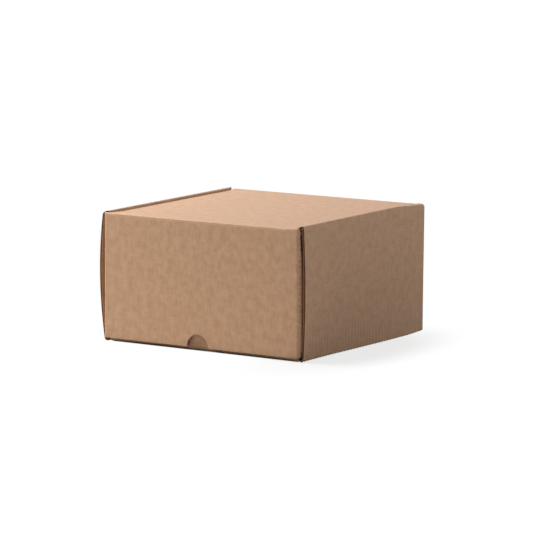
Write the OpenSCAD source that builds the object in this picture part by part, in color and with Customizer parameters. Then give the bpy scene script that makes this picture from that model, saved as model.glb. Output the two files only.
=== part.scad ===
// Closed mailer box, die-cut and folded from one sheet of corrugated board.
// The origin is the middle of the bottom face. The front faces -Y and +Z is up.
// All sizes are in millimetres.

/* [Board] */
// Thickness of the corrugated board
board_t = 2.9; // [2:0.1:3.5]
// Clear gap across a crease and beside the front panel
crease_gap = 0.3; // [0.2:0.05:0.6]
// Slack between board layers that lie side by side
layer_slack = 0.15; // [0.1:0.05:0.3]
// Outer radius of a fold, as a multiple of the board thickness
fold_round = 1.25; // [1.1:0.05:1.5]

/* [Inside] */
// Inside width between the rolled side walls
inner_w = 250; // [180:1:350]
// Inside depth between the front and back walls
inner_d = 242; // [180:1:350]
// Inside height under the lid
inner_h = 141; // [110:1:200]

/* [Front panel] */
// How far the front panel stops short of the tray at each side
front_inset = 3; // [2.8:0.1:3.4]
// Height of the front panel's lower edge above the floor
front_lift = 3.6; // [2:0.1:8]
// Radius of the thumb notch in the lower edge
notch_r = 14.2; // [8:0.1:25]
// How far the notch lies left of the middle
notch_shift = 4.3; // [0:0.1:20]
// Bevel on the lower right corner of the front panel
corner_cut = 2.2; // [1:0.1:6]

/* [Ears] */
// Longest reach of an ear behind the front panel
ear_reach = 42; // [25:1:48]
// Clear height between the ears' tips and the tray's bottom
ear_clear = 1; // [0.5:0.1:3]

/* [Corner flaps] */
// Reach of the flaps that the front and back walls send into the sides
flap_reach = 62; // [50:1:90]
// Clear height under a corner flap, and from its top to the neck of the inner panel
flap_clear = 3; // [1:0.5:6]
// Bevel on the free corners of a corner flap
flap_bevel = 12; // [4:1:20]

/* [Rolled sides] */
// Rise of the left roll's outer crease above the lid
left_outer_rise = 0.5; // [0.2:0.1:4]
// Rise of the left roll's inner crease above the lid
left_inner_rise = 2.3; // [0.2:0.1:4]
// Rise of the right roll's outer crease above the lid
right_outer_rise = 3.9; // [0.2:0.1:5]
// Rise of the right roll's inner crease above the lid
right_inner_rise = 1.3; // [0.2:0.1:4]
// Drop of the right roll's outer crease at its back end
right_outer_drop = 3.8; // [0:0.1:4]
// Drop of the right roll's inner crease at its back end
right_inner_drop = 0.5; // [0:0.1:1]
// Outward lean of the left side at the top
left_lean = 2.3; // [0:0.1:5]
// Outward lean of the right side at the top of its front edge
right_lean = 1.6; // [0:0.1:5]
// Outward lean of the right side at the top of its back edge
right_back_lean = 3.3; // [0:0.1:5]
// Outward bow of the left side at its front edge
left_bow = 5.8; // [2:0.1:8]
// Outward bow of the right side at its front edge
right_bow = 2.3; // [2:0.1:8]
// Outward set of the left side's foot at its front end
left_foot = 0.9; // [0:0.1:2]
// Outward set of the right side's foot past the middle
right_foot = 3.6; // [0:0.1:5]
// Outward set of the right side's foot at its back end
right_back_foot = 0.9; // [0:0.1:2]
// How far the outer panels and rolls stand back from the front wall's face
side_set_back = 0.4; // [0:0.1:2]
// Overhang of the side panels behind the back wall
side_overhang = 1; // [0:0.1:3]

/* [Tabs] */
// Length of each tab that locks an inner panel to the bottom
tab_l = 44; // [20:1:60]
// Clearance of a tab in its slot
tab_clear = 0.4; // [0.2:0.1:1]
// Place of the first tab from the front, as a share of the depth
tab_first = 0.52; // [0.5:0.01:0.6]
// Place of the second tab from the front, as a share of the depth
tab_second = 0.82; // [0.78:0.01:0.86]

/* [Hidden] */
$fn = 64;

kraft = [0.72, 0.56, 0.43];
kraft_light = [0.79, 0.63, 0.5];
kraft_front = [0.68, 0.52, 0.4];

// Overall sizes, from the floor to the lid's top face and over the folded walls
lid_z = inner_h + 2 * board_t;
roll_w = 3 * board_t + 2 * layer_slack;
base_w = inner_w + 2 * roll_w;
depth = inner_d + 3 * board_t + crease_gap;
front_y = -depth / 2;
back_y = depth / 2;

// The front wall stands just behind the front panel
wall_y = front_y + board_t + crease_gap;
wall_top = lid_z - board_t - crease_gap;
fold_r = fold_round * board_t;

// The front panel and its ears
front_half = base_w / 2 - front_inset;
ear_in = front_half - board_t;

// The front corner flaps lie inside the ears, and the back ones against the outer panels
front_wall_half = ear_in - crease_gap;
back_wall_half = base_w / 2 - board_t - layer_slack;

// How far the ears and flaps push the front of an inner panel inwards
squeeze = inner_w / 2 + board_t - (front_wall_half - board_t - layer_slack);

// Hinge lines at mid-thickness of the two creases that bend
crease_z = lid_z - board_t / 2;
front_crease_y = front_y + board_t / 2;
back_crease_y = back_y - board_t / 2;

// Small amount by which fused pieces overlap
fuse = 0.4;

// Length of the curved stretch on each side of a roll's crease
crease_leg = 0.95 * board_t;

// Most of the strip over a roll that the curve of one crease may take up
leg_share = 0.45;

// How fast the bow fades to the back, and the foot's set fades upwards
bow_fade = 1.6;
foot_fade = 2;

// Where changes along a side begin and end, as shares of the depth
drop_start = 0.75;
foot_start = 0.18;
foot_full = 0.78;
foot_return = 0.85;
squeeze_end = 0.26;
squeeze_gone = 0.5;

// Where an inner panel curves from the roll to its lower part, as shares of the height
neck_low = 0.86;
neck_high = 0.965;
neck_power = 3;

// Lower and upper edge of the corner flaps, the upper one below the necks
flap_low = fold_r + flap_clear;
flap_high = neck_low * lid_z - flap_clear;

// Steps of the side walls' loft: along the depth, up a panel, and round the fold and a crease
loft_steps = 12;
panel_steps = 8;
fold_steps = 4;
crease_steps = 5;

// A smooth step from 0 at a to 1 at b
function ease(v, a, b) =
    let (k = max(0, min(1, (v - a) / (b - a))))
    k * k * (3 - 2 * k);

// Shape of one side wall, with s running from 0 at the front to 1 at the back
function lean_at(right, s) = right ? right_lean + (right_back_lean - right_lean) * s : left_lean;
function bow_at(right, s) = (right ? right_bow : left_bow) * pow(1 - s, bow_fade);
function foot_at(right, s) =
    right
    ? right_foot * ease(s, foot_start, foot_full)
      - (right_foot - right_back_foot) * ease(s, foot_return, 1)
    : left_foot * (1 - ease(s, foot_start, foot_full));
function squeeze_at(s) = squeeze * (1 - ease(s, squeeze_end, squeeze_gone));
function outer_rise(right, s) =
    right ? right_outer_rise - right_outer_drop * ease(s, drop_start, 1) : left_outer_rise;
function inner_rise(right, s) =
    right ? right_inner_rise - right_inner_drop * ease(s, drop_start, 1) : left_inner_rise;

// Half width of the outer panel's middle surface at height z
function outer_mid(right, s, z) =
    let (h = z / lid_z)
    base_w / 2 - board_t / 2 + lean_at(right, s) * h + bow_at(right, s) * 4 * h * (1 - h)
    + foot_at(right, s) * pow(1 - h, foot_fade);

// Half width of the inner panel's middle surface at height z
function inner_mid(right, s, z) =
    inner_w / 2 + board_t / 2 + lean_at(right, s) * pow(z / lid_z, neck_power)
    - squeeze_at(s) * (1 - ease(z, neck_low * lid_z, neck_high * lid_z));

// A point at share f of the way round a crease, from a to b past its corner c
function bend(a, c, b, f) = pow(1 - f, 2) * a + 2 * f * (1 - f) * c + pow(f, 2) * b;

// The board's middle line in one section, from the bottom fold over the roll to the inner panel
function side_line(right, s) =
    let (
        r = fold_r - board_t / 2,
        fold_x = base_w / 2 - fold_r + foot_at(right, s),
        foot_in = board_t + crease_gap,
        outer_z = lid_z + outer_rise(right, s) - board_t / 2,
        inner_z = lid_z + inner_rise(right, s) - board_t / 2,
        outer_low = outer_z - crease_leg,
        inner_low = inner_z - crease_leg,
        outer_corner = [outer_mid(right, s, outer_z), outer_z],
        inner_corner = [inner_mid(right, s, inner_z), inner_z],
        span = inner_corner - outer_corner,
        leg = span * min(leg_share, crease_leg / norm(span))
    )
    concat(
        [[base_w / 2 - fold_r - fuse, board_t / 2]],
        [for (i = [0 : fold_steps])
            let (a = -90 + 90 * i / fold_steps)
            [fold_x + r * cos(a), fold_r + r * sin(a)]],
        [for (i = [1 : panel_steps])
            let (z = fold_r + (outer_low - fold_r) * i / panel_steps)
            [outer_mid(right, s, z), z]],
        [for (i = [1 : crease_steps])
            bend([outer_mid(right, s, outer_low), outer_low],
                 outer_corner, outer_corner + leg, i / crease_steps)],
        [for (i = [0 : crease_steps])
            bend(inner_corner - leg, inner_corner,
                 [inner_mid(right, s, inner_low), inner_low], i / crease_steps)],
        [for (i = [1 : panel_steps])
            let (z = inner_low + (foot_in - inner_low) * i / panel_steps)
            [inner_mid(right, s, z), z]]
    );

// Unit normal of a line of points at point i
function normal_at(line, i) =
    let (
        a = line[max(0, i - 1)],
        b = line[min(len(line) - 1, i + 1)],
        d = b - a
    )
    [d[1], -d[0]] / norm(d);

// Share of the way round the inner crease: 0 on the strip over the roll, 1 on the inner panel
function over_roll(i) =
    let (first = 2 + fold_steps + panel_steps + crease_steps)
    ease(i, first, first + crease_steps);

// A point on the board's outer or inner face of a side wall
function shell_point(right, line, s, i, face) =
    let (
        n = normal_at(line, i),
        p = line[i] + n * face * board_t / 2,
        k = over_roll(i),
        start = wall_y + side_set_back + k * (board_t + crease_gap - side_set_back),
        end = back_y + side_overhang - k * (side_overhang + board_t + crease_gap)
    )
    [(right ? 1 : -1) * p[0], start + s * (end - start), p[1]];

// Two triangles for a quad, turned over where the wall is mirrored
function quad(a, b, c, d, flip) = flip ? [[a, c, b], [a, d, c]] : [[a, b, c], [a, c, d]];

// One rolled side wall: bottom fold, outer panel, roll and inner panel as one folded sheet
module side_wall(right) {
    count = len(side_line(right, 0));
    points = [for (k = [0 : loft_steps])
        let (s = k / loft_steps, line = side_line(right, s))
        for (i = [0 : count - 1], face = [1, -1])
            shell_point(right, line, s, i, face)];
    function at(k, i, face) = (k * count + i) * 2 + face;
    skins = [for (k = [0 : loft_steps - 1], i = [0 : count - 2])
        each concat(
            quad(at(k, i, 0), at(k, i + 1, 0), at(k + 1, i + 1, 0), at(k + 1, i, 0), !right),
            quad(at(k, i, 1), at(k + 1, i, 1), at(k + 1, i + 1, 1), at(k, i + 1, 1), !right))];
    ends = [for (i = [0 : count - 2])
        each concat(
            quad(at(0, i, 0), at(0, i, 1), at(0, i + 1, 1), at(0, i + 1, 0), !right),
            quad(at(loft_steps, i, 0), at(loft_steps, i + 1, 0),
                 at(loft_steps, i + 1, 1), at(loft_steps, i, 1), !right))];
    edges = [for (k = [0 : loft_steps - 1])
        each concat(
            quad(at(k, 0, 0), at(k + 1, 0, 0), at(k + 1, 0, 1), at(k, 0, 1), !right),
            quad(at(k, count - 1, 0), at(k, count - 1, 1),
                 at(k + 1, count - 1, 1), at(k + 1, count - 1, 0), !right))];
    polyhedron(points, concat(skins, ends, edges));
}

// Quarter ring of board at a fold, in the first quadrant about the fold's centre
module fold_quarter() {
    intersection() {
        difference() {
            circle(fold_r);
            circle(fold_r - board_t);
        }
        square(fold_r);
    }
}

// Upright wall with its bottom fold, as a profile that stands at 0 and leads to +X
module wall_profile() {
    translate([fold_r, fold_r]) rotate(180) fold_quarter();
    translate([0, fold_r]) square([board_t, wall_top - fold_r]);
    translate([fold_r, 0]) square([fuse, board_t]);
}

// Front or back wall across the tray, facing -Y
module upright_wall(half) {
    rotate([90, 0, 90])
        linear_extrude(2 * half, center = true)
            wall_profile();
}

// Corner flap folded back from the end of a wall that faces -Y, on the +X side
module corner_flap(half) {
    translate([half - fold_r, fold_r, flap_low]) mirror([0, 1, 0])
        linear_extrude(flap_high - flap_low)
            fold_quarter();
    translate([half - board_t, fold_r, 0]) rotate([90, 0, 90])
        linear_extrude(board_t)
            polygon([
                [0, flap_low],
                [flap_reach - flap_bevel, flap_low + flap_clear],
                [flap_reach, flap_low + flap_clear + flap_bevel],
                [flap_reach, flap_high - flap_clear - flap_bevel],
                [flap_reach - flap_bevel, flap_high - flap_clear],
                [0, flap_high]
            ]);
}

// A wall and its two corner flaps. Its bottom fold stops short of the side walls' folds.
module flapped_wall(half) {
    foot_half = base_w / 2 - fold_r - fuse - layer_slack;
    difference() {
        upright_wall(half);
        for (side = [-1, 1]) {
            translate([side * half, 0, (flap_low + flap_high) / 2])
                cube([2 * fold_r, 4 * fold_r, flap_high - flap_low], center = true);
            translate([side * (foot_half + fold_r), 0, 0])
                cube([2 * fold_r, 4 * fold_r, 2 * fold_r], center = true);
        }
    }
    for (side = [0, 1])
        mirror([side, 0, 0])
            corner_flap(half);
}

// Place of a tab's middle along the tray
function tab_y(share) = wall_y + share * (back_y - wall_y);

// Bottom panel with the slots that take the inner panels' tabs
module bottom_panel() {
    side = base_w / 2 - fold_r;
    difference() {
        translate([-side, wall_y + fold_r, 0])
            cube([2 * side, back_y - wall_y - 2 * fold_r, board_t]);
        for (right = [-1, 1], share = [tab_first, tab_second])
            translate([right * (inner_w + board_t) / 2, tab_y(share), 0])
                cube([board_t + 2 * tab_clear, tab_l + 2 * tab_clear, 3 * board_t], center = true);
    }
}

// Tabs on the lower edges of the inner panels, standing in their slots
module locking_tabs() {
    for (right = [-1, 1], share = [tab_first, tab_second])
        translate([right * (inner_w + board_t) / 2, tab_y(share), (board_t + crease_gap + fuse) / 2])
            cube([board_t - 2 * layer_slack, tab_l, board_t + crease_gap + fuse], center = true);
}

module tray() {
    color(kraft) {
        bottom_panel();
        locking_tabs();
        translate([0, wall_y, 0])
            flapped_wall(front_wall_half);
        translate([0, back_y, 0])
            rotate(180)
                flapped_wall(back_wall_half);
        side_wall(true);
        side_wall(false);
    }
}

// Bar of round board edge along a crease that bends
module crease_bar(half, y) {
    translate([0, y, crease_z])
        rotate([0, 90, 0])
            cylinder(d = board_t, h = 2 * half, center = true);
}

module lid() {
    lid_half = inner_w / 2 - 2 * crease_gap;
    // Ahead of the rolls the lid widens to the folds of the ears
    shoulder = wall_y - 2 * crease_gap - front_crease_y;
    shoulder_half = front_half - fold_r / 3;
    color(kraft_light) {
        translate([-lid_half, front_crease_y, lid_z - board_t])
            cube([2 * lid_half, back_crease_y - front_crease_y, board_t]);
        translate([-shoulder_half, front_crease_y, lid_z - board_t])
            cube([2 * shoulder_half, shoulder, board_t]);
        crease_bar(shoulder_half, front_crease_y);
        crease_bar(lid_half, back_crease_y);
    }
}

// Outline of the front panel and an ear seen from the side, along Y and Z.
// The ear stays inside the arc about the front crease that clears the bottom,
// and outside the arc about the back crease that clears the roll's front end.
module ear_outline() {
    bottom_arc = crease_z - board_t - ear_clear;
    lid_arc = back_crease_y - wall_y + 2 * crease_gap;
    panel_top = crease_z - board_t / 2 - crease_gap;
    union() {
        translate([front_y, front_lift])
            square([board_t, panel_top - front_lift]);
        intersection() {
            translate([front_crease_y, crease_z])
                circle(bottom_arc, $fn = 180);
            translate([front_y, front_lift + fold_r])
                square([ear_reach + board_t, panel_top - fold_r - front_lift - fold_r]);
            difference() {
                translate([front_y, 0])
                    square([depth / 2, lid_z]);
                translate([back_crease_y, crease_z])
                    circle(lid_arc, $fn = 360);
            }
        }
    }
}

// Plan of the front panel with its two ears folded back
module flap_plan() {
    translate([-front_half + fold_r, front_y])
        square([2 * (front_half - fold_r), board_t]);
    for (side = [0, 1])
        mirror([side, 0]) {
            translate([front_half - fold_r, front_y + fold_r])
                mirror([0, 1])
                    fold_quarter();
            translate([front_half - board_t, front_y + fold_r])
                square([board_t, ear_reach]);
        }
}

module front_flap() {
    color(kraft_front)
        difference() {
            intersection() {
                linear_extrude(lid_z)
                    flap_plan();
                rotate([90, 0, 90])
                    linear_extrude(base_w, center = true)
                        ear_outline();
            }
            translate([-notch_shift, front_y, front_lift])
                rotate([90, 0, 0])
                    cylinder(r = notch_r, h = 4 * board_t, center = true);
            translate([front_half, front_y, front_lift])
                rotate([0, 45, 0])
                    cube([corner_cut * sqrt(2), 4 * fold_r, corner_cut * sqrt(2)], center = true);
        }
}

tray();
lid();
front_flap();
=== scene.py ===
import math

import bpy
import numpy as np
from mathutils import Matrix, Vector


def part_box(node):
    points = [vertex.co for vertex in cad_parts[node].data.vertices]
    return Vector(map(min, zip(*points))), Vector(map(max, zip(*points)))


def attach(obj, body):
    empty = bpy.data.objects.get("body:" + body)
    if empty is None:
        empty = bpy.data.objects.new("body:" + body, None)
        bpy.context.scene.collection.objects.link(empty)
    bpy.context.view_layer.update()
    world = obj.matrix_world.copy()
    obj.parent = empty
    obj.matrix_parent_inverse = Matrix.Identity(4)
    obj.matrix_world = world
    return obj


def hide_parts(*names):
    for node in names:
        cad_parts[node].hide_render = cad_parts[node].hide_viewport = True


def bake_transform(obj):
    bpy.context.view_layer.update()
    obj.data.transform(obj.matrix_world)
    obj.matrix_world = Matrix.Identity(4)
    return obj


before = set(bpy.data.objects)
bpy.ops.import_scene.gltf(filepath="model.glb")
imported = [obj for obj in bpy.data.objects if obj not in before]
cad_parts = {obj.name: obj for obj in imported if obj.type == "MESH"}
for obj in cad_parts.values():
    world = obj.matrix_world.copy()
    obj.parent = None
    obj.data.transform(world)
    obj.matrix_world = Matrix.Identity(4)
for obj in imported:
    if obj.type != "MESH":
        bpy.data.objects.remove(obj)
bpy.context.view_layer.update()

# Sizes are in millimetres until a mesh, a lamp or the camera is made
MM = 0.001
LEFT, RIGHT = -1, 1


def node_box(node):
    """Lowest and highest corner of a CAD node, in millimetres."""
    low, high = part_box(node)
    return low / MM, high / MM


# Sizes that the frame gives, and how much higher the front panel ends in the photo
LID_HIGH = node_box("lid")[1]
FLAP_LOW, FLAP_HIGH = node_box("front_flap")
LID_Z = LID_HIGH.z
FRONT_Y = FLAP_LOW.y
BACK_Y = LID_HIGH.y
FRONT_HALF = FLAP_HIGH.x
PANEL_RAISE = 0.6
PANEL_LOW = FLAP_LOW.z + PANEL_RAISE

# The board: two liners and a fluted layer between them. The flutes run across the box, a little
# askew, and show faintly through the liners
LAYERS = ("outer", "medium", "inner")
BOARD = 2.9
LINER = 0.32
MEDIUM = 0.24
FLUTE = 6.1
SKEW = 0.012
RISE = (BOARD - 2 * LINER - MEDIUM) / 2
WASHBOARD = 0.07

# Rows of mesh in each flute: of the fluted layer on small parts and on large ones, and of the
# liners. Edges sharper than this angle aren't smoothed, and a knife or blank goes this far past
# what it cuts
FLUTE_ROWS = 8
FLUTE_ROWS_LARGE = 6
LINER_ROWS = 4
SHARP_ANGLE = 38
CUT_PAST = 1.0

# Clearances where the lid and the front panel bend, and between folded panels
CREASE_GAP = 0.3
SLACK = 0.15

# Folds: outer radius, the share of it at which a fold's length is taken, the share of its
# thickness that the board keeps there, and how far along the board that reaches
FOLD_R = 1.25 * BOARD
FOLD_MID = FOLD_R - BOARD / 2
FOLD_LENGTH = FOLD_MID * math.pi / 2
LENGTH_SHARE = 0.8
CRUSH = 0.6
FOLD_SPREAD = 2.4

# The tray
INNER_HALF = 125.0
BASE_HALF = INNER_HALF + 3 * BOARD + 2 * SLACK
BASE_EDGE = BASE_HALF - FOLD_R
WALL_Y = FRONT_Y + BOARD + CREASE_GAP
WALL_TOP = LID_Z - BOARD - CREASE_GAP
WALL_RISE = FOLD_LENGTH + WALL_TOP - FOLD_R
BASE_FRONT, BASE_BACK = WALL_Y + FOLD_R, BACK_Y - FOLD_R
FRONT_WALL_HALF = FRONT_HALF - BOARD - CREASE_GAP
BACK_WALL_HALF = BASE_HALF - BOARD - SLACK

# How far the front wall sags in between its ends, and how deep into the bottom that reaches
SAG = 2.6
SAG_POWER = 4
SAG_DEPTH = 40

# The rolled sides: outward lean at the front and back ends, bow at the front edge, outward set
# of the foot at the front, past the middle and at the back end, and the rises of the outer and
# inner crease above the lid with their drops at the back end
SIDES = {
    "left": {
        "sign": LEFT, "lean": (2.3, 2.6), "inner_lean": (2.3, 2.6), "bow": 5.8,
        "foot": (0.9, 0.3, 0.0), "rise": (-0.4, 2.2), "drop": (0.0, 0.0)},
    "right": {
        "sign": RIGHT, "lean": (1.6, 3.3), "inner_lean": (1.0, 0.6), "bow": 2.3,
        "foot": (0.0, 3.6, 0.9), "rise": (4.0, 1.3), "drop": (3.9, 0.5)},
}
# How fast the bow fades towards the back, and the shares of a side's depth over which its foot,
# the fold there, the squeezed front of its inner panel and its rises change
BOW_POWER = 1.6
FOOT_SPAN = (0.18, 0.78)
FOOT_END_SPAN = (0.85, 1)
FOOT_LEG_SPAN = (0.1, 0.45)
SQUEEZE_SPAN = (0.26, 0.5)
DROP_SPAN = (0.75, 1)
# How far the inner panel is squeezed inwards, and how late it leans out on the way up
SQUEEZE = INNER_HALF + BOARD - (FRONT_WALL_HALF - BOARD - SLACK)
INNER_POWER = 3
# How far the sides stand back at the front, past the back wall, and how deep their fluted layer
# lies at the open ends
SET_BACK = 0.4
OVERHANG = 1.0
OPEN_EDGE = 3.0
# Half the width of a crease over the roll, and of the fold at the foot in front and behind
CREASE_LEG = 1.3
FOOT_LEGS = (2.4, 0.9)
# A side's section is seven stretches long: the rows in each, the places and half widths of its
# folds, the shares of its thickness that the board loses there, where its ends turn in behind
# the front wall, and the ripples that the flutes leave
STRETCH_ROWS = (1, 6, 18, 7, 2, 7, 10)
STRETCHES = len(STRETCH_ROWS)
FOOT_AT, OUTER_CREASE_AT, INNER_CREASE_AT = 1.5, 3.5, 5.5
FOOT_WIDTH, CREASE_WIDTH = 0.6, 0.5
FOOT_LOSS, CREASE_LOSS = 0.65, 0.5
TURN_IN = (5.1, 6)
RIPPLE = 0.35
# Half the step over which a section's direction is taken, and points along it for its length
SLOPE_STEP = 0.02
LENGTH_POINTS = 400

# Tabs in slots, and corner flaps between the foot and the neck over the ears
TAB_LENGTH = 44.0
TAB_ROWS = 4
TAB_THICKNESS = 0.9
TAB_CLEAR = 0.4
TAB_SHARES = (0.52, 0.82)
FLAP_REACH = 62.0
FLAP_CLEAR = 3.0
FLAP_BEVEL = 12.0
FLAP_RIPPLE = 0.4
NECK_LOW, NECK_HIGH = 0.86 * LID_Z, 0.965 * LID_Z
FLAP_LOW_Z, FLAP_HIGH_Z = FOLD_R + FLAP_CLEAR, NECK_LOW - FLAP_CLEAR

# The front panel and its thumb notch
HINGE_Z = LID_Z - BOARD / 2
HINGE_FRONT = FRONT_Y + BOARD / 2
HINGE_BACK = BACK_Y - BOARD / 2
NOTCH_R = 14.5
NOTCH_X = -4.6
NOTCH_POINTS = 33

# The ears: outer radius of the fold, swell beside it at the top and at the bottom, ripples, the
# cut at the lower corner, and the share of the fold that the panel's upright edges take in
EAR_FOLD = {LEFT: 1.5, RIGHT: 4.8}
EAR_SWELL = {LEFT: (0.4, 2.0), RIGHT: (0.8, 0.5)}
EAR_RIPPLE = {LEFT: 0.12, RIGHT: 0.6}
CORNER_CUT = {LEFT: 0.6, RIGHT: 2.4}
EDGE_SHARE = 0.8
EAR_CRUSH = 0.42
SWELL_RUN = 30
SWELL_FADE = (2, 9.0)
EAR_REACH = 42.0
EAR_CLEAR = 1.0
EAR_POINTS = 40
# The small point that stands up at each upper corner of the panel
CORNER_RISE = 1.4
CORNER_STEP = 0.6
CORNER_SHARE = 0.4

# The front crease rises towards its right end, over part of the front's width, the panel's
# height and the lid's depth
CORNER_LIFT = 0.9
LIFT_RUN = 26
LIFT_DROP = 20
LIFT_DEPTH = (6, 60)

# The lid, set back a little so that the front panel clears it in every pose, and how far it
# hangs along its left edge between its creases
LID_HALF = INNER_HALF - 2 * CREASE_GAP
LID_SET = 0.5
LID_FRONT = WALL_Y - 2 * CREASE_GAP + LID_SET
LID_HANG = 1.1
HANG_WIDTH = 40
HANG_FRONT = 30
HANG_BACK = 12

# The creases that bend: a flat start, a tight turn and a leg down the wall
CREASE_R = 1.3
CREASE_FLAT = LID_FRONT - FRONT_Y - CREASE_R
CREASE_TURN = CREASE_R * math.pi / 2
CREASE_LENGTH = CREASE_FLAT + CREASE_TURN + (LID_Z - CREASE_R - WALL_TOP)
CREASE_SPREAD = 2.2
CREASE_CRUSH = 0.62
CREASE_ROWS = 18
# Shares of an ear's fold by which the front strip ends short of the panel
STRIP_INSET = {LEFT: 0.35, RIGHT: 0.3}


def ease(v, a, b):
    """A smooth step from 0 at a to 1 at b."""
    k = np.clip((v - a) / (b - a), 0.0, 1.0)
    return k * k * (3 - 2 * k)


def bell(v, middle, width):
    """A smooth bump of height 1 at the middle."""
    return np.exp(-(((v - middle) / width) ** 2))


def flute_phase(u, v):
    """Angle along the flutes' wave at a point of the flat sheet."""
    return 2 * math.pi * (v + SKEW * u) / FLUTE


def layer_face(layer, side, u, v):
    """Where one face of a layer of flat board lies: its v and its height w over the middle."""
    phase = flute_phase(u, v)
    if layer == "medium":
        slope = RISE * 2 * math.pi / FLUTE * np.cos(phase)
        length = np.sqrt(1 + slope ** 2)
        half = side * MEDIUM / 2
        return v - half * slope / length, RISE * np.sin(phase) + half / length
    way = 1 if layer == "outer" else -1
    middle = way * (BOARD / 2 - LINER / 2)
    sag = WASHBOARD * (1 - way * np.sin(phase)) / 2
    return v, middle + side * LINER / 2 - way * sag


def grid_faces(rows, cols, offset, flip):
    """Quads over a grid of vertices, as an array of four indices each."""
    r, c = np.meshgrid(np.arange(rows - 1), np.arange(cols - 1), indexing="ij")
    a = (r * cols + c).ravel() + offset
    quads = np.stack([a, a + 1, a + cols + 1, a + cols], -1)
    return quads[:, ::-1] if flip else quads


def rim_faces(rows, cols, count):
    """Quads that close the edge between an upper grid and the lower grid that follows it."""
    index = np.arange(rows * cols).reshape(rows, cols)
    loop = np.concatenate([index[0, :], index[1:, -1], index[-1, -2::-1], index[-2::-1, 0]])
    a, b = loop[:-1], loop[1:]
    return np.stack([b, a, a + count, b + count], -1)


def layer_sheet(layer, us, vs):
    """One closed layer of flat board over a grid: vertices (u, v, w), quads and their materials.
    Material 0 is the liner's paper and 1 the raw board inside."""
    u, v = np.meshgrid(us, vs)
    sheets = []
    for side in (1, -1):
        moved, w = layer_face(layer, side, u, v)
        sheets.append(np.stack([u, moved + 0 * u, w + 0 * u], -1).reshape(-1, 3))
    rows, cols = u.shape
    count = rows * cols
    upper = grid_faces(rows, cols, 0, False)
    lower = grid_faces(rows, cols, count, True)
    rim = rim_faces(rows, cols, count)
    skin = {"outer": (0, 1), "inner": (1, 0), "medium": (1, 1)}[layer]
    edge = 1 if layer == "medium" else 0
    slots = np.concatenate([
        np.full(len(upper), skin[0]), np.full(len(lower), skin[1]), np.full(len(rim), edge)])
    return np.concatenate(sheets), np.concatenate([upper, lower, rim]), slots


def steps(a, b, pitch):
    """Evenly spaced values from a to b, about pitch apart."""
    return np.linspace(a, b, max(2, int(round(abs(b - a) / pitch)) + 1))


def columns(*spans):
    """A board's columns over several spans, each given by its two ends and its pitch."""
    return np.concatenate([steps(*span) for span in spans])


def flat_board(us, v0, v1, fine=FLUTE_ROWS):
    """The three layers of a rectangle of flat board, with rows fine enough to follow the flutes."""
    rows = {"outer": LINER_ROWS, "medium": fine, "inner": LINER_ROWS}
    return [layer_sheet(layer, us, steps(v0, v1, FLUTE / rows[layer])) for layer in LAYERS]


def mesh_object(name, verts, faces, slots):
    """A mesh object in the scene, with a material number for each face."""
    mesh = bpy.data.meshes.new(name)
    mesh.from_pydata([tuple(p) for p in verts], [], [tuple(int(i) for i in f) for f in faces])
    mesh.polygons.foreach_set("material_index", np.asarray(slots, np.int32))
    obj = bpy.data.objects.new(name, mesh)
    bpy.context.scene.collection.objects.link(obj)
    return obj


def prism(outline, slot):
    """A closed prism through the board over an outline of (u, v) points, as a knife."""
    count = len(outline)
    verts = [(u, v, w) for w in (-2 * BOARD, 2 * BOARD) for u, v in outline]
    sides = [(i, (i + 1) % count, (i + 1) % count + count, i + count) for i in range(count)]
    faces = [tuple(reversed(range(count))), tuple(range(count, 2 * count))] + sides
    return mesh_object("knife", verts, faces, [slot] * len(faces))


def die_cut(part, outline, keep):
    """A layer of flat board cut along an outline, keeping what is inside it or outside it."""
    obj = mesh_object("blank", *part)
    is_medium = min(part[2]) == 1
    knife = prism(outline, 1 if is_medium else 0)
    # Two empty material slots each, so that the cut keeps the faces' material numbers
    for o in (obj, knife):
        for _ in range(2):
            o.data.materials.append(None)
    cut = obj.modifiers.new("cut", "BOOLEAN")
    cut.operation = "INTERSECT" if keep == "inside" else "DIFFERENCE"
    cut.solver = "EXACT"
    cut.object = knife
    evaluated = obj.evaluated_get(bpy.context.evaluated_depsgraph_get())
    mesh = bpy.data.meshes.new_from_object(evaluated)
    verts = np.array([v.co for v in mesh.vertices], float).reshape(-1, 3)
    faces = [tuple(p.vertices) for p in mesh.polygons]
    slots = [p.material_index for p in mesh.polygons]
    for o in (obj, knife):
        bpy.data.objects.remove(o)
    return verts, faces, slots


def placed(parts, place, length=None):
    """Folds flat parts to their place, and keeps where each vertex was on the flat sheet."""
    done = []
    for verts, faces, slots in parts:
        u, v, w = verts.T
        flat = np.stack([u if length is None else length(u), v], -1)
        done.append((np.stack(place(u, v, w), -1), faces, slots, flat))
    return done


def turned_over(parts):
    """The same parts with every face pointing the other way."""
    return [(verts, [tuple(reversed(tuple(f))) for f in faces], slots, flat)
            for verts, faces, slots, flat in parts]


def make_piece(name, parts, body, *replaced, paper=None):
    """One object from folded parts, riding on a body, with its place on the flat sheet as UVs."""
    verts, faces, slots, flat = [], [], [], []
    for p, f, m, uv in parts:
        base = sum(len(x) for x in verts)
        verts.append(np.asarray(p) * MM)
        flat.append(np.asarray(uv) * MM)
        faces += [tuple(int(i) + base for i in face) for face in f]
        slots += list(m)
    obj = mesh_object(name, np.concatenate(verts), faces, slots)
    mesh = obj.data
    loops = np.zeros(len(mesh.loops), np.int32)
    mesh.loops.foreach_get("vertex_index", loops)
    mesh.uv_layers.new(name="blank").data.foreach_set("uv", np.concatenate(flat)[loops].ravel())
    mesh.polygons.foreach_set("use_smooth", np.ones(len(mesh.polygons), bool))
    mesh.set_sharp_from_angle(angle=math.radians(SHARP_ANGLE))
    mesh.materials.append(paper or LINER_MATERIAL)
    mesh.materials.append(RAW_MATERIAL)
    if body:
        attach(obj, body)
    if replaced:
        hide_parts(*replaced)
    return obj


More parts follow.
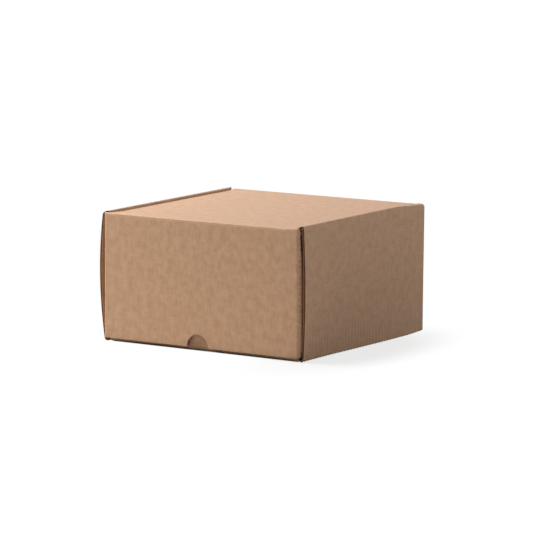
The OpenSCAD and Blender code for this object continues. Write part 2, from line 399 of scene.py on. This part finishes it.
def squashed(w, keep):
    """Height w in a board whose thickness is crushed to a share of itself from the inside."""
    return BOARD / 2 - (BOARD / 2 - w) * keep


def around(angle, w):
    """Sideways and upwards reach from the centre of a fold, at an angle from its start."""
    return (FOLD_MID + w) * np.sin(angle), (FOLD_MID + w) * np.cos(angle)


def fold_length(radius):
    """Length of flat board that a fold with the given outer radius takes up."""
    return LENGTH_SHARE * radius * math.pi / 2


def corner_fold(u, v, w, radius, crush, ripple):
    """A strip along u that turns through a right angle from u = 0: along x first, then along y."""
    length = fold_length(radius)
    near = bell(u, length / 2, FOLD_SPREAD)
    w = squashed(w, 1 - (1 - crush) * near) + ripple * near * np.cos(flute_phase(u, v))
    angle = np.clip(u / length, 0, 1) * math.pi / 2
    reach = radius - BOARD / 2 + w
    out, back = reach * np.sin(angle), reach * np.cos(angle)
    return np.minimum(u, 0) + out, -back + np.maximum(u - length, 0)


def corner_lift(u):
    """How far the front crease rises towards its right end."""
    return CORNER_LIFT * ease(u, FRONT_HALF - LIFT_RUN, FRONT_HALF)


# Front panel with its two ears
def front_place(u, v, w):
    """The front panel in its place, with its ends folded back as ears and swelling beside them."""
    x, y = 0.0, 0.0
    for sign, radius in EAR_FOLD.items():
        start = FRONT_HALF - radius
        fold_x, fold_y = corner_fold(sign * u - start, v, w, radius, EAR_CRUSH, EAR_RIPPLE[sign])
        top, bottom = EAR_SWELL[sign]
        swell = (bottom + (top - bottom) * v / LID_Z) * (1 - ease(radius + fold_y, *SWELL_FADE))
        fold_x = fold_x + swell * ease(sign * u, start - SWELL_RUN, start)
        here = sign * u >= 0
        x = np.where(here, sign * (start + fold_x), x)
        y = np.where(here, FRONT_Y + radius + fold_y, y)
    return x, y, v + corner_lift(u) * ease(v, LID_Z - LIFT_DROP, LID_Z)


def ear_edge(z, radius):
    """How far along u an ear reaches at a height, inside both of its swing arcs."""
    bottom_arc = HINGE_Z - BOARD - EAR_CLEAR
    lid_arc = HINGE_BACK - WALL_Y + 2 * CREASE_GAP
    over_bottom = HINGE_FRONT + math.sqrt(max(0, bottom_arc ** 2 - (z - HINGE_Z) ** 2))
    under_roll = HINGE_BACK - math.sqrt(lid_arc ** 2 - (z - HINGE_Z) ** 2)
    y = min(over_bottom, under_roll, FRONT_Y + EAR_REACH + BOARD)
    return FRONT_HALF - radius + fold_length(radius) + y - FRONT_Y - radius


def ear_outline(sign):
    """Outline of one end of the flat front panel, from its lower corner round the ear, drawn as
    the right end."""
    radius, cut = EAR_FOLD[sign], CORNER_CUT[sign]
    fold = FRONT_HALF - radius
    foot = fold + EDGE_SHARE * fold_length(radius)
    low, high = PANEL_LOW + 2 * FOLD_R, WALL_TOP - FOLD_R
    outline = [(foot - cut, PANEL_LOW), (foot, PANEL_LOW + cut), (foot, low)]
    outline += [(ear_edge(z, radius), z) for z in np.linspace(low, high, EAR_POINTS)]
    corner = [(foot, WALL_TOP), (foot - CORNER_STEP, WALL_TOP + CORNER_SHARE * CORNER_RISE),
              (fold, WALL_TOP + CORNER_RISE), (fold, WALL_TOP)]
    return outline + [(foot, high)] + corner


def front_outline():
    """Outline of the flat front panel and ears, anticlockwise from the thumb notch."""
    notch = [
        (NOTCH_X - NOTCH_R * math.cos(a), PANEL_LOW + NOTCH_R * math.sin(a))
        for a in np.linspace(0, math.pi, NOTCH_POINTS)]
    left = [(-u, v) for u, v in reversed(ear_outline(LEFT))]
    return notch + ear_outline(RIGHT) + left


def front_board():
    """The front panel and its ears, with fine columns at the folds."""
    halves = []
    for radius in EAR_FOLD.values():
        fold = FRONT_HALF - radius
        bent = fold + fold_length(radius)
        halves.append(columns(
            (0, fold - 6, 20), (fold - 4, bent + 4, 0.6), (bent + 8, bent + EAR_REACH, 9)))
    us = np.concatenate([-halves[0][:0:-1], halves[1]])
    outline = front_outline()
    parts = flat_board(us, PANEL_LOW - CUT_PAST, LID_Z)
    return placed([die_cut(p, outline, "inside") for p in parts], front_place)


# Lid, from the front crease to the back crease
def lid_place(u, v, w):
    """The lid hangs a little along its left edge, between the creases, and lifts with the front
    crease near its right end."""
    hang = LID_HANG * ease(-u, LID_HALF - HANG_WIDTH, LID_HALF)
    hang = hang * ease(v, FRONT_Y, FRONT_Y + HANG_FRONT)
    hang = hang * (1 - ease(v, BACK_Y - HANG_BACK, BACK_Y))
    near, far = LIFT_DEPTH
    lift = corner_lift(u) * (1 - ease(v, FRONT_Y + near, FRONT_Y + far))
    return u, v, LID_Z - BOARD / 2 + w - hang + lift


def lid_board():
    """The lid, with fine columns near both ends, where it hangs and lifts."""
    us = columns(
        (-LID_HALF, HANG_WIDTH - LID_HALF, 5), (60 - LID_HALF, LID_HALF - 40, 20),
        (LID_HALF - 25, LID_HALF, 4))
    return placed(flat_board(us, LID_FRONT, -LID_FRONT), lid_place)


# Strips that bend where the lid meets the front panel and the back wall
def crease_path(v, w):
    """A strip that leaves the lid at v = 0 and runs down the wall past a tight fold."""
    near = bell(v, CREASE_FLAT + CREASE_TURN / 2, CREASE_SPREAD)
    depth = (BOARD / 2 - w) * (1 - CREASE_CRUSH * near)
    angle = np.clip((v - CREASE_FLAT) / CREASE_R, 0, math.pi / 2)
    reach = CREASE_R - depth
    ahead = np.minimum(v, CREASE_FLAT) - CREASE_FLAT + reach * np.sin(angle)
    down = np.maximum(v - CREASE_FLAT - CREASE_TURN, 0)
    return ahead, CREASE_R - reach * np.cos(angle) + down


def crease_strip(left, right, outer_y):
    """The strip over a crease, from x left to right, whose wall has its outer face at outer_y."""
    way = 1 if outer_y > 0 else -1

    def place(u, v, w):
        ahead, down = crease_path(v, w)
        return u, outer_y + way * (ahead - CREASE_R), LID_Z - down + 0 * u

    def front_corner(u, v, w):
        """The same with the ends drawn back round the folds of the ears."""
        x, y, z = place(u, v, w)
        for sign, radius in EAR_FOLD.items():
            start = FRONT_HALF - radius
            past = np.clip(sign * u - start, 0, radius)
            y = y + (radius - np.sqrt(radius ** 2 - past ** 2)) * ease(y, WALL_Y, outer_y)
            x = x + sign * EAR_SWELL[sign][0] * ease(sign * u, start - SWELL_RUN, start)
        return x, y, z + corner_lift(u)

    # Fine columns at the ends only, where the strip goes round the ears' folds
    us = columns((left, left + 3, 0.5), (left + 6, right - 6, 6), (right - 3, right, 0.5))
    vs = np.linspace(0, CREASE_LENGTH, CREASE_ROWS)
    parts = [layer_sheet(layer, us, vs) for layer in LAYERS]
    return placed(parts, place) if way > 0 else turned_over(placed(parts, front_corner))


# Bottom panel with the front and back walls folded up from it
def base_place(u, v, w):
    """The bottom in its place, with both walls turned up and the front wall sagging."""
    inside = np.clip(v, BASE_FRONT, BASE_BACK)
    over = np.where(v < BASE_FRONT, BASE_FRONT - v, np.maximum(v - BASE_BACK, 0))
    way = np.where(v < BASE_FRONT, -1, 1)
    near = bell(over, FOLD_LENGTH / 2, FOLD_SPREAD)
    w = squashed(w, 1 - (1 - CRUSH) * near)
    angle = np.clip(over / FOLD_MID, 0, math.pi / 2)
    out, down = around(angle, w)
    sag = SAG * (1 - (u / FRONT_WALL_HALF) ** SAG_POWER)
    sag = sag * (1 - ease(v, BASE_FRONT, BASE_FRONT + SAG_DEPTH))
    y = inside + way * out + np.maximum(sag, 0)
    return u, y, FOLD_R - down + np.maximum(over - FOLD_LENGTH, 0)


def base_outline():
    """Outline of the flat bottom and its two walls, anticlockwise."""
    front_half, back_half = FRONT_WALL_HALF - FOLD_R, BACK_WALL_HALF - FOLD_R
    low, high = (FOLD_LENGTH + z - FOLD_R for z in (FLAP_LOW_Z, FLAP_HIGH_Z))
    right = [
        (FRONT_WALL_HALF, BASE_FRONT - WALL_RISE), (FRONT_WALL_HALF, BASE_FRONT - high),
        (front_half, BASE_FRONT - high), (front_half, BASE_FRONT - low),
        (FRONT_WALL_HALF, BASE_FRONT - low), (FRONT_WALL_HALF, BASE_FRONT),
        (BASE_EDGE, BASE_FRONT), (BASE_EDGE, BASE_BACK), (back_half, BASE_BACK),
        (back_half, BASE_BACK + high), (BACK_WALL_HALF, BASE_BACK + high),
        (BACK_WALL_HALF, BASE_BACK + WALL_RISE)]
    return right + [(-u, v) for u, v in reversed(right)]


def slot_outlines():
    """The slots in the bottom that hold the sides' tabs."""
    for sign in (LEFT, RIGHT):
        for share in TAB_SHARES:
            x = sign * (INNER_HALF + BOARD / 2)
            y = WALL_Y + share * (BACK_Y - WALL_Y)
            w, l = BOARD / 2 + TAB_CLEAR, TAB_LENGTH / 2 + TAB_CLEAR
            yield [(x - w, y - l), (x + w, y - l), (x + w, y + l), (x - w, y + l)]


def base_board():
    """The bottom and its front and back walls, with slots."""
    edge = BASE_EDGE + CUT_PAST / 2
    us = steps(-edge, edge, 22)
    parts = []
    for part in flat_board(us, BASE_FRONT - WALL_RISE, BASE_BACK + WALL_RISE, FLUTE_ROWS_LARGE):
        part = die_cut(part, base_outline(), "inside")
        for outline in slot_outlines():
            part = die_cut(part, outline, "outside")
        parts.append(part)
    return placed(parts, base_place)


def corner_flap(half, outer_y, sign):
    """A flap folded back from the end of a wall, lying along the side."""
    way = 1 if outer_y > 0 else -1
    low, high = FLAP_LOW_Z, FLAP_HIGH_Z
    bent = fold_length(FOLD_R)
    reach = bent + FLAP_REACH
    outline = [
        (-CUT_PAST, low), (bent, low), (reach - FLAP_BEVEL, low + FLAP_CLEAR),
        (reach, low + FLAP_CLEAR + FLAP_BEVEL), (reach, high - FLAP_CLEAR - FLAP_BEVEL),
        (reach - FLAP_BEVEL, high - FLAP_CLEAR), (bent, high), (-CUT_PAST, high)]
    # Fine columns over the fold, coarse ones on the flat part
    us = columns((0, bent + 2, 0.9), (bent + 8, reach, 12))

    def place(u, v, w):
        x, y = corner_fold(u, v, w, FOLD_R, CRUSH, FLAP_RIPPLE)
        return sign * (half - FOLD_R + x), outer_y - way * (FOLD_R + y), v

    parts = [die_cut(p, outline, "inside") for p in flat_board(us, low, high)]
    done = placed(parts, place)
    return turned_over(done) if sign * way > 0 else done


# Rolled side walls. A share s runs from 0 at a side's front edge to 1 at its back edge
def outer_mid(side, s, z):
    """How far out the outer panel's middle stands at a height."""
    front, back = side["lean"]
    h = z / LID_Z
    bow = side["bow"] * np.power(1 - np.clip(s, 0, 1), BOW_POWER)
    foot_front, foot_full, foot_back = side["foot"]
    foot = (foot_front + (foot_full - foot_front) * ease(s, *FOOT_SPAN)
            + (foot_back - foot_full) * ease(s, *FOOT_END_SPAN))
    return (BASE_HALF - BOARD / 2 + (front + (back - front) * s) * h + bow * 4 * h * (1 - h)
            + foot * (1 - h) ** 2)


def inner_mid(side, s, z):
    """How far out the inner panel's middle stands at a height, squeezed inwards beside the ear."""
    front, back = side["inner_lean"]
    push = SQUEEZE * (1 - ease(s, *SQUEEZE_SPAN))
    return (INNER_HALF + BOARD / 2 + (front + (back - front) * s) * (z / LID_Z) ** INNER_POWER
            - push * (1 - ease(z, NECK_LOW, NECK_HIGH)))


def bend(a, c, b, f):
    """A point at share f of the way round a crease, from a past corner c to b."""
    return [(1 - f) ** 2 * p + 2 * f * (1 - f) * q + f ** 2 * r for p, q, r in zip(a, c, b)]


def straight(a, b, f):
    """A point at share f of the way from a to b."""
    return [p + (q - p) * f for p, q in zip(a, b)]


def side_mid(side, t, s):
    """X and Z of a side wall's middle line. Each unit of t is one stretch: the edge of the bottom,
    its fold, the outer panel, the outer crease, the strip over the roll, the inner crease, the
    inner panel."""
    fallen = ease(s, *DROP_SPAN)
    foot_leg = FOOT_LEGS[0] + (FOOT_LEGS[1] - FOOT_LEGS[0]) * ease(s, *FOOT_LEG_SPAN)
    outer_z, inner_z = (
        LID_Z + rise - drop * fallen - BOARD / 2 for rise, drop in zip(side["rise"], side["drop"]))
    low_out, low_in = outer_z - CREASE_LEG, inner_z - CREASE_LEG
    foot = [outer_mid(side, s, 0), BOARD / 2]
    foot_end = [foot[0] - foot_leg, BOARD / 2]
    foot_top = BOARD / 2 + foot_leg
    outer = [outer_mid(side, s, outer_z), outer_z]
    inner = [inner_mid(side, s, inner_z), inner_z]
    leg = CREASE_LEG / np.sqrt((inner[0] - outer[0]) ** 2 + (inner[1] - outer[1]) ** 2)
    strip_start, strip_end = straight(outer, inner, leg), straight(inner, outer, leg)
    f = [np.clip(t - n, 0, 1) for n in range(STRETCHES)]
    up = foot_top + f[2] * (low_out - foot_top)
    down = low_in + f[6] * (BOARD + CREASE_GAP - low_in)
    stretches = [
        straight([BASE_EDGE, BOARD / 2], foot_end, f[0]),
        bend(foot_end, foot, [outer_mid(side, s, foot_top), foot_top], f[1]),
        [outer_mid(side, s, up), up],
        bend([outer_mid(side, s, low_out), low_out], outer, strip_start, f[3]),
        straight(strip_start, strip_end, f[4]),
        bend(strip_end, inner, [inner_mid(side, s, low_in), low_in], f[5]),
        [inner_mid(side, s, down), down]]
    which = np.clip(np.floor(t), 0, STRETCHES - 1)
    x, z = 0.0, 0.0
    for n, (px, pz) in enumerate(stretches):
        x = np.where(which == n, px, x)
        z = np.where(which == n, pz, z)
    return x, z


def side_place(side):
    """The placing function of a side wall, whose u is the t of side_mid."""
    def place(t, v, w):
        s = (v - WALL_Y) / (BACK_Y + OVERHANG - WALL_Y)
        x, z = side_mid(side, t, s)
        ax, az = side_mid(side, np.clip(t - SLOPE_STEP, 0, STRETCHES), s)
        bx, bz = side_mid(side, np.clip(t + SLOPE_STEP, 0, STRETCHES), s)
        dx, dz = bx - ax, bz - az
        length = np.sqrt(dx ** 2 + dz ** 2)
        foot = bell(t, FOOT_AT, FOOT_WIDTH)
        creases = bell(t, OUTER_CREASE_AT, CREASE_WIDTH) + bell(t, INNER_CREASE_AT, CREASE_WIDTH)
        w = squashed(w, 1 - FOOT_LOSS * foot) * (1 - CREASE_LOSS * creases)
        w = w + RIPPLE * np.minimum(foot + creases, 1) * np.cos(flute_phase(0, v))
        over = ease(t, *TURN_IN)
        start = WALL_Y + SET_BACK + over * (BOARD + CREASE_GAP - SET_BACK)
        end = BACK_Y + OVERHANG - over * (OVERHANG + BOARD + CREASE_GAP)
        x = side["sign"] * (x + w * dz / length)
        return x, start + s * (end - start), z - w * dx / length

    return place


def side_board(side):
    """A rolled side wall. Its place on the flat sheet is measured along its middle section."""
    t = np.concatenate(
        [[0]] + [np.linspace(n, n + 1, rows + 1)[1:] for n, rows in enumerate(STRETCH_ROWS)])
    fine = np.linspace(0, STRETCHES, LENGTH_POINTS)
    x, z = side_mid(side, fine, 0.5)
    run = np.concatenate([[0], np.cumsum(np.hypot(np.diff(x), np.diff(z)))])
    start, end = WALL_Y, BACK_Y + OVERHANG
    parts = flat_board(t, start, end, FLUTE_ROWS_LARGE)
    inside = steps(start + OPEN_EDGE, end - OPEN_EDGE, FLUTE / FLUTE_ROWS_LARGE)
    parts[LAYERS.index("medium")] = layer_sheet("medium", t, inside)
    done = placed(parts, side_place(side), lambda u: np.interp(u, fine, run) + BASE_HALF)
    return done if side["sign"] < 0 else turned_over(done)


def locking_tab(side, share):
    """A tab on an inner panel's lower edge, standing in its slot."""
    y = WALL_Y + share * (BACK_Y - WALL_Y)
    us = np.linspace(0, BOARD + CREASE_GAP, TAB_ROWS)

    def place(u, v, w):
        x = side["sign"] * (INNER_HALF + BOARD / 2 + w * TAB_THICKNESS)
        return x, v, BOARD + CREASE_GAP - u

    return placed(flat_board(us, y - TAB_LENGTH / 2, y + TAB_LENGTH / 2), place)


# Materials
def empty_material(name):
    """A new material and its empty node tree."""
    material = bpy.data.materials.new(name)
    material.use_nodes = True
    material.node_tree.nodes.clear()
    return material, material.node_tree


def math_node(tree, operation, *values):
    """The result of a math node over plain numbers and other nodes' results."""
    step = tree.nodes.new("ShaderNodeMath")
    step.operation = operation
    for socket, value in zip(step.inputs, values):
        if isinstance(value, float):
            socket.default_value = value
        else:
            tree.links.new(value, socket)
    return step.outputs[0]


def mapped(tree, value, span, to=(0.0, 1.0), shape="LINEAR"):
    """A value carried from one span to another, and kept within it."""
    node = tree.nodes.new("ShaderNodeMapRange")
    node.interpolation_type = shape
    node.inputs["From Min"].default_value, node.inputs["From Max"].default_value = span
    node.inputs["To Min"].default_value, node.inputs["To Max"].default_value = to
    tree.links.new(value, node.inputs["Value"])
    return node.outputs[0]


# The papers: darkest and lightest tone, roughness, and strength of the relief
LINER_PAPER = ((0.53, 0.305, 0.172), (0.71, 0.428, 0.256), 0.55, 0.8)
# A lighter paper for the front crease strip, which paints a highlight along the crease
CREASE_HIGHLIGHT_PAPER = ((0.62, 0.366, 0.213), (0.76, 0.475, 0.293), 0.55, 0.8)
RAW_PAPER = ((0.36, 0.2, 0.105), (0.5, 0.3, 0.17), 0.85, 0.6)
RELIEF_DEPTH = 0.04
SPECULAR = 0.35
SHEEN = 0.12
SHEEN_ROUGHNESS = 0.35
# Each pattern: waves in a millimetre, detail, stretch across and along the sheet, and the span
# of the noise that it shows
MOTTLE = (0.11, 3, (1, 1), (0.3, 0.7))
STREAKS = (0.55, 2, (1, 0.12), (0.25, 0.75))
FIBRES = (1.6, 3, (1, 0.35), (0.25, 0.75))
DARK_FLECKS = (0.62, 1, (1, 1), (0.72, 0.78))
PALE_FLECKS = (0.8, 1, (0.8, 1.3), (0.7, 0.76))
# Shares of the streaks and fibres in the paper's tone, and of the fibres in its relief, and the
# span of tones between the darkest and the lightest colour
STREAK_SHARE = 0.45
FIBRE_SHARE = 0.35
RELIEF_SHARE = 0.6
TONE_SPAN = (0.2, 0.8)
# Flecks: how much darker or lighter they are than those colours, and how strongly they show
DARKER, DARK_SHARE = 0.55, 0.6
LIGHTER, PALE_SHARE = 1.2, 0.5


def kraft(name, dark, light, roughness, bump):
    """Kraft paper: mottle, streaks along the paper's run, fibres and specks."""
    material, tree = empty_material(name)
    nodes, links = tree.nodes, tree.links
    out = nodes.new("ShaderNodeOutputMaterial")
    shader = nodes.new("ShaderNodeBsdfPrincipled")
    links.new(shader.outputs[0], out.inputs[0])
    uv = nodes.new("ShaderNodeUVMap")
    uv.uv_map = "blank"

    def pattern(scale, detail, stretch, span):
        """Noise over the flat sheet, as a share from 0 to 1."""
        place = nodes.new("ShaderNodeMapping")
        place.inputs["Scale"].default_value = (stretch[0] / MM, stretch[1] / MM, 1)
        links.new(uv.outputs[0], place.inputs[0])
        texture = nodes.new("ShaderNodeTexNoise")
        texture.inputs["Scale"].default_value = scale
        texture.inputs["Detail"].default_value = detail
        links.new(place.outputs[0], texture.inputs["Vector"])
        return mapped(tree, texture.outputs["Fac"], span)

    def combine(a, b, share):
        """Two patterns mixed, with the given share of the second."""
        mix = nodes.new("ShaderNodeMix")
        mix.inputs["Factor"].default_value = share
        links.new(a, mix.inputs["A"])
        links.new(b, mix.inputs["B"])
        return mix.outputs["Result"]

    def flecks(base, mask, colour, share):
        """Sparse flecks of another colour over a base colour."""
        mix = nodes.new("ShaderNodeMix")
        mix.data_type = "RGBA"
        links.new(math_node(tree, "MULTIPLY", mask, share), mix.inputs["Factor"])
        links.new(base, mix.inputs[6])
        mix.inputs[7].default_value = (*colour, 1)
        return mix.outputs[2]

    streaks, fibres = pattern(*STREAKS), pattern(*FIBRES)
    tone = combine(combine(pattern(*MOTTLE), streaks, STREAK_SHARE), fibres, FIBRE_SHARE)
    ramp = nodes.new("ShaderNodeValToRGB")
    for element, place, colour in zip(ramp.color_ramp.elements, TONE_SPAN, (dark, light)):
        element.position = place
        element.color = (*colour, 1)
    links.new(tone, ramp.inputs[0])
    shade = [c * DARKER for c in dark]
    pale = [min(1, c * LIGHTER) for c in light]
    colour = flecks(ramp.outputs[0], pattern(*DARK_FLECKS), shade, DARK_SHARE)
    colour = flecks(colour, pattern(*PALE_FLECKS), pale, PALE_SHARE)
    links.new(colour, shader.inputs["Base Color"])
    shader.inputs["Roughness"].default_value = roughness
    shader.inputs["Specular IOR Level"].default_value = SPECULAR
    shader.inputs["Sheen Weight"].default_value = SHEEN
    shader.inputs["Sheen Roughness"].default_value = SHEEN_ROUGHNESS
    relief = nodes.new("ShaderNodeBump")
    relief.inputs["Strength"].default_value = bump
    relief.inputs["Distance"].default_value = RELIEF_DEPTH * MM
    links.new(combine(streaks, fibres, RELIEF_SHARE), relief.inputs["Height"])
    links.new(relief.outputs[0], shader.inputs["Normal"])
    return material


LINER_MATERIAL = kraft("kraft_liner", *LINER_PAPER)
CREASE_HIGHLIGHT_MATERIAL = kraft("kraft_painted_crease_highlight", *CREASE_HIGHLIGHT_PAPER)
RAW_MATERIAL = kraft("kraft_raw_edge", *RAW_PAPER)


# The box
tray_parts = base_board()
for flap_sign in (LEFT, RIGHT):
    tray_parts += corner_flap(FRONT_WALL_HALF, WALL_Y, flap_sign)
    tray_parts += corner_flap(BACK_WALL_HALF, BACK_Y, flap_sign)
make_piece("base_and_walls", tray_parts, "tray", "tray")
for side_name, side_spec in SIDES.items():
    wall_parts = side_board(side_spec)
    for tab_share in TAB_SHARES:
        wall_parts += locking_tab(side_spec, tab_share)
    make_piece(side_name + "_rolled_side", wall_parts, "tray")
make_piece("lid_panel", lid_board(), "lid", "lid")
make_piece("front_panel_and_ears", front_board(), "front_flap", "front_flap")
front_ends = [
    sign * (FRONT_HALF - STRIP_INSET[sign] * radius) for sign, radius in EAR_FOLD.items()]
# The front crease strip gets the lighter paper, a painted highlight along the crease
front_strip = make_piece(
    "front_crease_fold", crease_strip(*front_ends, FRONT_Y), None, paper=CREASE_HIGHLIGHT_MATERIAL)
back_strip = make_piece("back_crease_fold", crease_strip(-LID_HALF, LID_HALF, BACK_Y), None)


def blend_over(obj, a):
    """Bakes a strip's place into its mesh, the same whether a is the lid or another body."""
    if a == "lid":
        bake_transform(obj)
    else:
        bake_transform(obj)


blend_over(front_strip, "lid")
blend_over(back_strip, "tray")


# Stage, light and camera. Sizes on the floor and of the lamps are in metres
FLOOR_SIZE = 40
FLOOR_Z = -0.0002
# The floor's own tone to the eye, and the least share of glow where the box's shadow shows, in
# an ellipse given by its middle and reach, which fades between two multiples of that reach
FLOOR_TONE = 0.86
FLOOR_GLOW = 0.75
SHADOW_PLACE = (0.135, -0.03)
SHADOW_REACH = (0.062, 0.13)
SHADOW_FADE = (0.6, 1.6)
# How much light the floor throws back: little beside the box's right side and under its edge, where
# a shadow is painted into the floor's colour for bounced light
FLOOR_BOUNCE = 0.75
SHADOW_BOUNCE = 0.08
SHADOW_NEAR = (0.11, 0.134)
SHADOW_FAR = (0.2, 0.4)
SHADOW_AHEAD = (0.128, 0.15)
FOOTPRINT = (0.131, 0.126)
CONTACT_REACH = 0.006
CONTACT_EDGE = (-0.0065, -0.004)

WORLD_COLOUR = (0.99, 1.0, 1.03)
WORLD_STRENGTH = 0.27
# Direction from the box, distance, size and level of each lamp
LAMP_COLOUR = (1.0, 0.98, 0.95)
LAMPS = {
    "key": ((-0.75, -0.228, 0.63), 1.35, 0.6, 1.18),
    "right_fill": ((0.8, 0.5, 0.3), 1.0, 0.8, 0.115),
}
# Angles in degrees, distance and shift in millimetres, range of sight in metres
SENSOR_WIDTH = 36
CLIP_NEAR, CLIP_FAR = 0.1, 100
CAMERA = {
    "azimuth": 33.8885, "elevation": 8.6551, "roll": 0.2, "distance": 4118.24,
    "shift": (3.37, 6.20), "lens": 244.435}


def plane(name, size, z):
    """A square in the scene at a height, in metres."""
    half = size / 2
    corners = [(-half, -half, z), (half, -half, z), (half, half, z), (-half, half, z)]
    return mesh_object(name, corners, [(0, 1, 2, 3)], [0])


def seen_directly(tree):
    """1 for camera, glossy and transmission rays."""
    path = tree.nodes.new("ShaderNodeLightPath")
    total = path.outputs["Is Camera Ray"]
    for other in ("Is Glossy Ray", "Is Transmission Ray"):
        total = math_node(tree, "MAXIMUM", total, path.outputs[other])
    return total


def floor_material():
    """A white floor whose own light is mixed in, less so close to the box, so that its shadow
    stays. Its colour for bounced light is darker beside the box's right side and under its
    edge, a painted shadow."""
    material, tree = empty_material("floor_white")
    nodes, links = tree.nodes, tree.links
    out = nodes.new("ShaderNodeOutputMaterial")
    mix = nodes.new("ShaderNodeMixShader")
    diffuse = nodes.new("ShaderNodeBsdfDiffuse")
    glow = nodes.new("ShaderNodeEmission")
    seen = seen_directly(tree)
    place = nodes.new("ShaderNodeTexCoord").outputs["Object"]
    axes = nodes.new("ShaderNodeSeparateXYZ")
    links.new(place, axes.inputs[0])
    x, y = axes.outputs[0], axes.outputs[1]

    patch = nodes.new("ShaderNodeMapping")
    patch.inputs["Location"].default_value = [
        -middle / reach for middle, reach in zip(SHADOW_PLACE, SHADOW_REACH)] + [0]
    patch.inputs["Scale"].default_value = [1 / reach for reach in SHADOW_REACH] + [0]
    links.new(place, patch.inputs[0])
    distance = nodes.new("ShaderNodeVectorMath")
    distance.operation = "LENGTH"
    links.new(patch.outputs[0], distance.inputs[0])
    far = mapped(tree, distance.outputs["Value"], SHADOW_FADE, (FLOOR_GLOW, 1.0), "SMOOTHSTEP")

    beyond = math_node(tree, "MAXIMUM", *(
        math_node(tree, "SUBTRACT", math_node(tree, "ABSOLUTE", axis), half)
        for axis, half in zip((x, y), FOOTPRINT)))
    clear = mapped(tree, beyond, (0.0, CONTACT_REACH))
    # The floor's colour for bounced light is painted as shadow beside the box's right side and
    # under its edge, and as lit elsewhere
    before = mapped(tree, x, SHADOW_NEAR, (1.0, 0.0))
    past = mapped(tree, x, SHADOW_FAR)
    ahead = mapped(tree, math_node(tree, "MULTIPLY", y, -1.0), SHADOW_AHEAD)
    open_floor = math_node(tree, "MAXIMUM", math_node(tree, "MAXIMUM", before, past), ahead)
    lit = math_node(tree, "MULTIPLY", clear, open_floor)
    bounce = math_node(tree, "MULTIPLY", lit, FLOOR_BOUNCE - SHADOW_BOUNCE)
    bounce = math_node(tree, "ADD", bounce, SHADOW_BOUNCE)
    tone = math_node(tree, "MAXIMUM", bounce, math_node(tree, "MULTIPLY", seen, FLOOR_TONE))
    links.new(tone, diffuse.inputs["Color"])

    outside = mapped(tree, beyond, CONTACT_EDGE)
    share = math_node(tree, "MULTIPLY", math_node(tree, "MULTIPLY", far, outside), seen)
    links.new(share, mix.inputs[0])
    links.new(diffuse.outputs[0], mix.inputs[1])
    links.new(glow.outputs[0], mix.inputs[2])
    links.new(mix.outputs[0], out.inputs[0])
    return material


def make_world():
    """Even light from all round, which the camera sees as white."""
    world = bpy.data.worlds.new("studio")
    bpy.context.scene.world = world
    world.use_nodes = True
    tree = world.node_tree
    tree.nodes.clear()
    out = tree.nodes.new("ShaderNodeOutputWorld")
    mix = tree.nodes.new("ShaderNodeMixShader")
    light = tree.nodes.new("ShaderNodeBackground")
    light.inputs["Color"].default_value = (*WORLD_COLOUR, 1)
    light.inputs["Strength"].default_value = WORLD_STRENGTH
    seen = tree.nodes.new("ShaderNodeBackground")
    seen.inputs["Color"].default_value = (1, 1, 1, 1)
    tree.links.new(seen_directly(tree), mix.inputs[0])
    tree.links.new(light.outputs[0], mix.inputs[1])
    tree.links.new(seen.outputs[0], mix.inputs[2])
    tree.links.new(mix.outputs[0], out.inputs[0])


def area_lamp(name, toward, distance, size, level):
    """A square lamp that lights a surface facing it at the box to the given level."""
    data = bpy.data.lights.new(name, "AREA")
    data.size = size
    data.energy = level * math.pi ** 2 * distance ** 2
    data.color = LAMP_COLOUR
    lamp = bpy.data.objects.new(name, data)
    bpy.context.scene.collection.objects.link(lamp)
    middle = Vector((0, 0, LID_Z / 2 * MM))
    direction = Vector(toward).normalized()
    lamp.location = middle + direction * distance
    lamp.rotation_mode = "QUATERNION"
    lamp.rotation_quaternion = direction.to_track_quat("Z", "Y")


def make_camera(azimuth, elevation, roll, distance, shift, lens):
    """A camera that looks at the box's middle, moved in its own plane by shift."""
    az, el, r = (math.radians(a) for a in (azimuth, elevation, roll))
    back = Vector((math.sin(az) * math.cos(el), -math.cos(az) * math.cos(el), math.sin(el)))
    right = Vector((math.cos(az), math.sin(az), 0))
    up = back.cross(right)
    data = bpy.data.cameras.new("camera")
    data.sensor_width = SENSOR_WIDTH
    data.lens = lens
    data.clip_start, data.clip_end = CLIP_NEAR, CLIP_FAR
    camera = bpy.data.objects.new("camera", data)
    bpy.context.scene.collection.objects.link(camera)
    middle = Vector((0, 0, LID_Z / 2))
    camera.location = (middle + right * shift[0] + up * shift[1] + back * distance) * MM
    x = right * math.cos(r) - up * math.sin(r)
    y = right * math.sin(r) + up * math.cos(r)
    camera.rotation_mode = "QUATERNION"
    camera.rotation_quaternion = Matrix((x, y, back)).transposed().to_quaternion()
    bpy.context.scene.camera = camera


floor = plane("floor", FLOOR_SIZE, FLOOR_Z)
floor.data.materials.append(floor_material())
make_world()
for lamp_name, lamp_spec in LAMPS.items():
    area_lamp(lamp_name, *lamp_spec)
make_camera(**CAMERA)
bpy.context.scene.view_settings.view_transform = "Standard"
